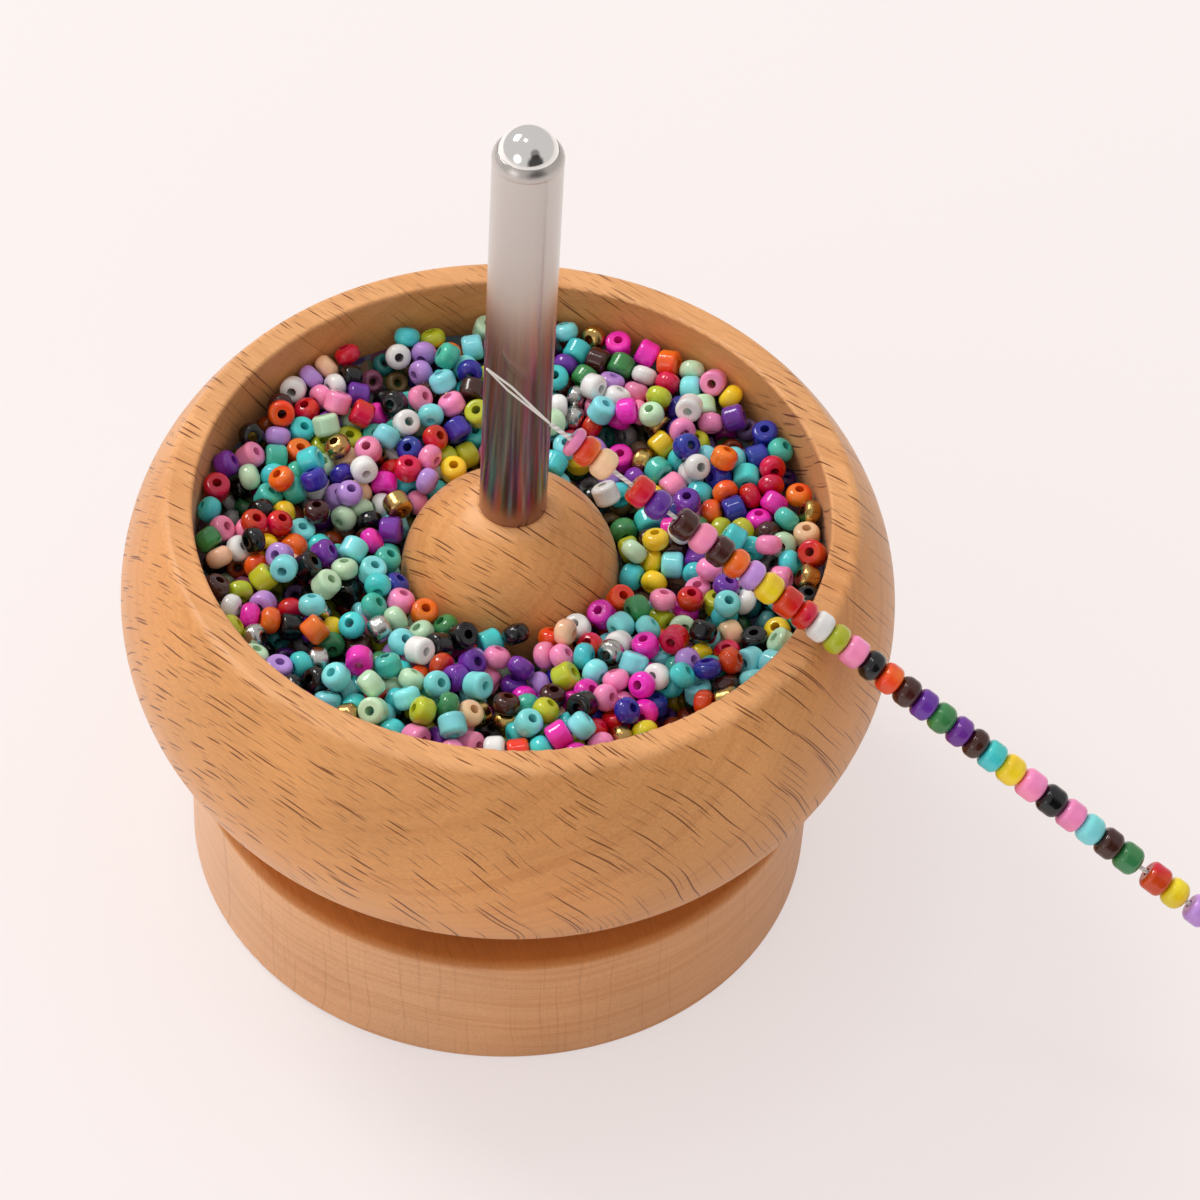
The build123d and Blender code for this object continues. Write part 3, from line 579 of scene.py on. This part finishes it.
class SPINNER_OT_stage(bpy.types.Operator):
    """Set up the floor, the soft light and the camera"""
    bl_idname = "spinner.stage"
    bl_label = "Floor, light and camera"
    bl_options = {"REGISTER", "UNDO"}

    def execute(self, context):
        settings = context.scene.stage_settings
        bpy.ops.object.select_all(action="DESELECT")
        bpy.ops.mesh.primitive_plane_add(size=9.0, location=(0, 0, 0))
        floor = context.object
        floor.name = "paper_floor"
        material, tree, surface = new_material("Matt paper")
        shade = span(tree, noise(tree, object_place(tree), 2.6), 0.3, 0.7, 0.985, 1.01)
        paper = mix(tree, 1.0, opaque(settings.floor), grey(tree, shade), "MULTIPLY")
        seen = tree.nodes.new("ShaderNodeLightPath").outputs["Is Camera Ray"]
        lift = maths(tree, "MULTIPLY", seen, settings.shade_lift)
        thin = grey(tree, maths(tree, "SUBTRACT", 1.0, lift))
        fill(tree, surface, {
            "Base Color": mix(tree, 1.0, paper, thin, "MULTIPLY"),
            "Roughness": 0.75,
            "Specular IOR Level": 0.25,
            "Emission Color": opaque(settings.floor_glow),
            "Emission Strength": lift,
        })
        floor.data.materials.append(material)
        self.add_room(context, settings)
        self.add_lamp(context, "Window", (-0.85, 0.60, 1.15), 0.50, 0.44, settings.window_power)
        self.add_lamp(context, "Ceiling lamp", (-0.22, 0.14, 1.30), 0.17, 0.17, settings.ceiling_power)
        self.add_camera(context, settings)
        context.scene.view_settings.view_transform = "Standard"
        return {"FINISHED"}

    def add_room(self, context, settings):
        """Soft light from all round; what mirrors show has two dim places and a bright one."""
        world = bpy.data.worlds.new("Soft room")
        context.scene.world = world
        world.use_nodes = True
        tree = world.node_tree
        direction = tree.nodes.new("ShaderNodeTexCoord").outputs["Generated"]
        rays = tree.nodes.new("ShaderNodeLightPath").outputs
        mirrored = maths(tree, "ADD", rays["Is Glossy Ray"], rays["Is Transmission Ray"], True)
        seen = ROOM_IN_MIRRORS
        for place, inner, outer, change in ROOM_SPOTS:
            spread = span(tree, dot(tree, direction, place), outer, inner, 0.0, change)
            seen = maths(tree, "ADD", seen, spread)
        seen = maths(tree, "MAXIMUM", seen, 0.05)
        left = span(tree, dot(tree, direction, ROOM_SIDE), -0.9, 0.9, 0.60, 1.40)
        level = maths(tree, "MULTIPLY", left, settings.room_level)
        for choice, other in ((mirrored, seen), (rays["Is Camera Ray"], ROOM_IN_VIEW)):
            sockets = {0: choice, 2: level, 3: other}
            level = add(tree, "ShaderNodeMix", sockets, data_type="FLOAT").outputs[0]
        fill(tree, tree.nodes["Background"], {"Color": opaque(settings.sky), "Strength": level})

    def add_lamp(self, context, name, place, width, height, power):
        lamp = bpy.data.lights.new(name, "AREA")
        lamp.shape = "RECTANGLE"
        lamp.size = width
        lamp.size_y = height
        lamp.energy = power
        lamp.color = (1.0, 0.975, 0.955)
        lit = bpy.data.objects.new(name, lamp)
        context.scene.collection.objects.link(lit)
        place = Vector(place)
        facing = (Vector((0, 0, 0.06)) - place).to_track_quat("-Z", "Y").to_matrix().to_4x4()
        lit.matrix_world = Matrix.Translation(place) @ facing

    def add_camera(self, context, settings):
        high = settings.elevation
        right = Vector((1, 0, 0))
        up = Vector((0, math.sin(high), math.cos(high)))
        back = Vector((0, -math.cos(high), math.sin(high)))
        turned_right = right * math.cos(settings.roll) + up * math.sin(settings.roll)
        turned_up = up * math.cos(settings.roll) - right * math.sin(settings.roll)
        lens = bpy.data.cameras.new("Camera")
        lens.lens = settings.lens
        lens.sensor_width = 36.0
        lens.clip_start = 0.01
        camera = bpy.data.objects.new("Camera", lens)
        context.scene.collection.objects.link(camera)
        turn = Matrix((turned_right, turned_up, back)).transposed().to_4x4()
        camera.matrix_world = Matrix.Translation(Vector(settings.camera_place)) @ turn
        context.scene.camera = camera


class SPINNER_OT_thread(bpy.types.Operator):
    """Lay the taut thread from the needle over the rim and away"""
    bl_idname = "spinner.thread"
    bl_label = "Thread"
    bl_options = {"REGISTER", "UNDO"}

    def execute(self, context):
        settings = context.scene.thread_settings
        route = [Vector(point) for point in (settings.start, settings.near, settings.rim, settings.end)]
        curve = bpy.data.curves.new("thread_line", "CURVE")
        curve.dimensions = "3D"
        curve.bevel_depth = settings.radius
        curve.bevel_resolution = 4
        curve.use_fill_caps = True
        spline = curve.splines.new("NURBS")
        spline.points.add(len(route) - 1)
        for point, place in zip(spline.points, route):
            point.co = (place.x, place.y, place.z, 1.0)
        spline.order_u = 3
        spline.use_endpoint_u = True
        thread = bpy.data.objects.new("thread_line", curve)
        context.scene.collection.objects.link(thread)
        curve.materials.append(thread_material(settings))
        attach(thread, "inner_ring")
        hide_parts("thread")
        return {"FINISHED"}


def thread_material(settings):
    material, tree, surface = new_material("Twisted thread")
    run = (Vector(settings.end) - Vector(settings.start)).normalized()
    side = run.cross(Vector(UP)).normalized()
    over = side.cross(run)
    offset = vector_maths(tree, "SUBTRACT", object_place(tree), settings.start)
    angle = maths(tree, "ARCTAN2", dot(tree, offset, side), dot(tree, offset, over))
    turns = maths(tree, "MULTIPLY", dot(tree, offset, run), THREAD_TWIST)
    twist = maths(tree, "ADD", turns, maths(tree, "MULTIPLY", angle, 2.0))
    ply = span(tree, maths(tree, "SINE", twist), -1.0, 1.0)
    fill(tree, surface, {
        "Base Color": mix(tree, ply, opaque(settings.colour, 0.72), opaque(settings.colour)),
        "Roughness": 0.72,
        "Sheen Weight": 0.25,
        "Normal": bump(tree, ply, THREAD_RELIEF),
    })
    return material


class SPINNER_OT_beech(bpy.types.Operator):
    """Finish the turned bowl and base in oiled beech"""
    bl_idname = "spinner.beech"
    bl_label = "Beech bowl and base"
    bl_options = {"REGISTER", "UNDO"}

    def execute(self, context):
        s = context.scene.beech_settings
        bowl_ways = (s.bowl_grain, s.bowl_radial, s.bowl_across)
        base_ways = (s.base_grain, s.base_radial, s.base_across)
        bowl = beech_material(
            "Beech bowl", s, bowl_ways, s.wood, RIM_PAINTED_LIGHT_LOW, s.rim_painted_light,
            flecks=1.0, rings=0.8, ring_width=s.ring_width,
        )
        base = beech_material(
            "Beech base", s, base_ways, s.base_wood, BASE_PAINTED_SHADE_LOW, s.base_top_painted_shade,
            flecks=0.16, rings=0.7, ring_width=0.6 * s.ring_width,
        )
        dress(bowl, "bowl")
        dress(base, "base_block")
        return {"FINISHED"}


class SPINNER_OT_steel(bpy.types.Operator):
    """Finish the post, its cap, the spindle, the screw and the bearing"""
    bl_idname = "spinner.steel"
    bl_label = "Post and bearing"
    bl_options = {"REGISTER", "UNDO"}

    def execute(self, context):
        s = context.scene.steel_settings
        post = steel_material("Satin post steel", s.post, s.post_roughness, 0.05, 0.6, tube_with_painted_reflection=True)
        dress(post, "post_tube")
        for name, colour, roughness, smears, rubbing, nodes in (
            ("Mirror steel", s.cap, s.cap_roughness, 0.03, 0.1, ("post_ball", "bearing_balls")),
            ("Ground steel", s.dark, 0.28, 0.08, 0.6, GROUND_NODES),
            ("Zinc plate", s.zinc, 0.36, 0.12, 0.3, PLATED_NODES),
            ("Cage brass", s.cage, 0.30, 0.10, 0.3, ("bearing_cage",)),
        ):
            dress(steel_material(name, colour, roughness, smears, rubbing), *nodes)
        dress(steel_material("Needle steel", s.needle, 0.32, 0.08, 0.2, metallic=0.35), "needle")
        material, tree, surface = new_material("Natural nylon")
        fill(tree, surface, {
            "Base Color": (0.76, 0.74, 0.68, 1.0),
            "Roughness": span(tree, noise(tree, object_place(tree), 300.0), 0.3, 0.7, 0.42, 0.55),
            "Subsurface Weight": 0.1,
        })
        dress(material, "post_bush")
        return {"FINISHED"}


class SPINNER_OT_beads(bpy.types.Operator):
    """Colour the beads of the heap and those on the thread"""
    bl_idname = "spinner.beads"
    bl_label = "Glass beads"
    bl_options = {"REGISTER", "UNDO"}

    def execute(self, context):
        settings = context.scene.bead_settings
        for name in BEAD_COLOURS:
            roughness = 0.2 if name in METAL_BEADS else settings.gloss
            material = bead_material(name, getattr(settings, name), roughness)
            nodes = [node for node in ("beads_" + name, "strand_" + name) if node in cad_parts]
            dress(material, *nodes)
        thread = context.scene.thread_settings
        material, tree, surface = new_material("Knotted thread")
        sockets = {"Vector": object_place(tree), "Scale": 900.0, "Distortion": 3.0}
        wraps = add(tree, "ShaderNodeTexWave", sockets).outputs["Fac"]
        fill(tree, surface, {
            "Base Color": mix(tree, wraps, opaque(thread.colour, 0.7), opaque(thread.colour)),
            "Roughness": 0.75,
            "Normal": bump(tree, wraps, KNOT_RELIEF),
        })
        dress(material, "thread_knot")
        return {"FINISHED"}


class SPINNER_OT_lower_beads(bpy.types.Operator):
    """Fill the bowl under the top beads with more beads, darkened as painted shade, over a near-black
    painted-shade mass
    """
    bl_idname = "spinner.lower_beads"
    bl_label = "Lower beads"
    bl_options = {"REGISTER", "UNDO"}

    def execute(self, context):
        settings = context.scene.bead_settings
        low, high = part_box("bead_bed")
        wall = high.x
        radius = settings.lower_radius
        step = settings.lower_step
        random.seed(5)
        bpy.ops.object.select_all(action="DESELECT")
        bpy.ops.mesh.primitive_torus_add(
            major_radius=0.63 * radius, minor_radius=0.37 * radius, major_segments=10, minor_segments=5
        )
        first = context.object
        bpy.ops.object.mode_set(mode="EDIT")
        bpy.ops.mesh.select_all(action="SELECT")
        bpy.ops.transform.resize(value=(1, 1, 1.75))
        bpy.ops.object.mode_set(mode="OBJECT")
        first.data.polygons.foreach_set("use_smooth", [True] * len(first.data.polygons))
        copies = []
        rows = int(wall / (ROW_SHARE * step)) + 1
        for row in range(-rows, rows + 1):
            for column in range(-rows - 2, rows + 3):
                x = (column + 0.5 * (row % 2)) * step + random.uniform(-LOWER_SCATTER, LOWER_SCATTER) * step
                y = row * ROW_SHARE * step + random.uniform(-LOWER_SCATTER, LOWER_SCATTER) * step
                reach = math.hypot(x, y)
                if not HUB_RADIUS + radius < reach < wall - radius:
                    continue
                rise = (HEAP_AT_WALL - HEAP_AT_HUB) * (reach - HUB_RADIUS) / (wall - HUB_RADIUS)
                z = HEAP_AT_HUB + rise - settings.lower_depth + random.uniform(-LOWER_RISE, LOWER_RISE)
                copy = first.copy()
                copy.data = first.data.copy()
                facing = Vector([random.gauss(0, 1) for axis in range(3)])
                turn = facing.to_track_quat("Z", "Y")
                copy.data.transform(Matrix.Translation((x, y, z)) @ turn.to_matrix().to_4x4())
                tone = opaque(getattr(settings, random.choice(BEAD_COLOURS)))
                marks = copy.data.color_attributes.new("bead_colour", "FLOAT_COLOR", "POINT")
                marks.data.foreach_set("color", list(tone) * len(copy.data.vertices))
                context.scene.collection.objects.link(copy)
                copies.append(copy)
        bpy.data.objects.remove(first)
        bpy.ops.object.select_all(action="DESELECT")
        for copy in copies:
            copy.select_set(True)
        context.view_layer.objects.active = copies[0]
        bpy.ops.object.join()
        heap = context.object
        heap.name = "lower_beads"
        material, tree, surface = new_material("Lower bead glass")
        stored = add(tree, "ShaderNodeAttribute", attribute_name="bead_colour").outputs["Color"]
        # Painted shade: the lower beads' colours are mixed 70 % towards black for the shade deep in the heap
        glass = use_group(tree, "Bead glass", {
            "Place": object_place(tree), "Glass": mix(tree, 0.70, stored, (0.0, 0.0, 0.0, 1.0)),
            "Spread": 0.1, "Roughness": 0.25,
        })
        fill(tree, surface, {"Base Color": glass["Color"], "Roughness": glass["Roughness"]})
        heap.data.materials.clear()
        heap.data.materials.append(material)
        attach(heap, "bowl")
        plug = self.add_plug(context, low.z, wall, settings.lower_depth + 0.6 * MM)
        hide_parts("bead_bed")
        return {"FINISHED"}

    def add_plug(self, context, floor, wall, sink):
        """A near-black mass in place of the deeper beads, painted shade that shows only between the others.
        """
        outline = [
            (HUB_RADIUS + 2.3 * MM, floor + 0.2 * MM), (wall - 21.5 * MM, floor + 0.2 * MM),
            (wall - 11.0 * MM, floor + 4.0 * MM), (wall - 3.6 * MM, floor + 10.5 * MM),
            (wall - 0.4 * MM, floor + 21.0 * MM), (wall - 0.2 * MM, HEAP_AT_WALL - sink),
            (HUB_RADIUS + 0.2 * MM, HEAP_AT_HUB - sink), (HUB_RADIUS + 0.2 * MM, floor + 2.5 * MM),
        ]
        bpy.ops.object.select_all(action="DESELECT")
        mesh = bpy.data.meshes.new("bead_mass")
        edges = [(i, (i + 1) % len(outline)) for i in range(len(outline))]
        mesh.from_pydata([(reach, 0, height) for reach, height in outline], edges, [])
        plug = bpy.data.objects.new("bead_mass", mesh)
        context.scene.collection.objects.link(plug)
        plug.select_set(True)
        context.view_layer.objects.active = plug
        bpy.ops.object.mode_set(mode="EDIT")
        bpy.ops.mesh.select_all(action="SELECT")
        bpy.ops.mesh.spin(steps=64, angle=math.tau, center=(0, 0, 0), axis=(0, 0, 1))
        bpy.ops.mesh.select_all(action="SELECT")
        bpy.ops.mesh.remove_doubles(threshold=0.00001)
        bpy.ops.mesh.normals_make_consistent(inside=False)
        bpy.ops.object.mode_set(mode="OBJECT")
        material, tree, surface = new_material("Shaded beads")
        cell = add(tree, "ShaderNodeTexVoronoi", {"Vector": object_place(tree), "Scale": 300.0}).outputs
        # Near-black painted shade, with a faint trace of bead colours from the cells
        fill(tree, surface, {
            "Base Color": mix(tree, 0.86, cell["Color"], (0.02, 0.015, 0.018, 1.0)),
            "Roughness": 0.6,
            "Normal": bump(tree, cell["Distance"], HEAP_RELIEF),
        })
        plug.data.materials.append(material)
        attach(plug, "bowl")
        return plug


OPERATORS = (
    SPINNER_OT_effects,
    SPINNER_OT_stage,
    SPINNER_OT_thread,
    SPINNER_OT_beech,
    SPINNER_OT_steel,
    SPINNER_OT_beads,
    SPINNER_OT_lower_beads,
)


class SPINNER_PT_panel(bpy.types.Panel):
    """Steps and settings of the bead spinner"""
    bl_idname = "SPINNER_PT_panel"
    bl_label = "Bead Spinner"
    bl_space_type = "VIEW_3D"
    bl_region_type = "UI"
    bl_category = "Bead Spinner"

    def draw(self, context):
        layout = self.layout
        for operator in OPERATORS:
            layout.operator(operator.bl_idname)
        for name, group in SETTINGS.items():
            box = layout.box()
            box.label(text=group.__doc__)
            for label in group.__annotations__:
                box.prop(getattr(context.scene, name), label)


def register():
    for group in SETTINGS.values():
        bpy.utils.register_class(group)
    for operator in OPERATORS:
        bpy.utils.register_class(operator)
    bpy.utils.register_class(SPINNER_PT_panel)
    for name, group in SETTINGS.items():
        setattr(bpy.types.Scene, name, bpy.props.PointerProperty(type=group))


def unregister():
    for name in SETTINGS:
        delattr(bpy.types.Scene, name)
    bpy.utils.unregister_class(SPINNER_PT_panel)
    for operator in reversed(OPERATORS):
        bpy.utils.unregister_class(operator)
    for group in reversed(SETTINGS.values()):
        bpy.utils.unregister_class(group)


def main():
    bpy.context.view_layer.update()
    register()
    bpy.ops.spinner.effects()
    bpy.ops.spinner.stage()
    bpy.ops.spinner.thread()
    bpy.ops.spinner.beech()
    bpy.ops.spinner.steel()
    bpy.ops.spinner.beads()
    bpy.ops.spinner.lower_beads()


if __name__ == "__main__":
    main()
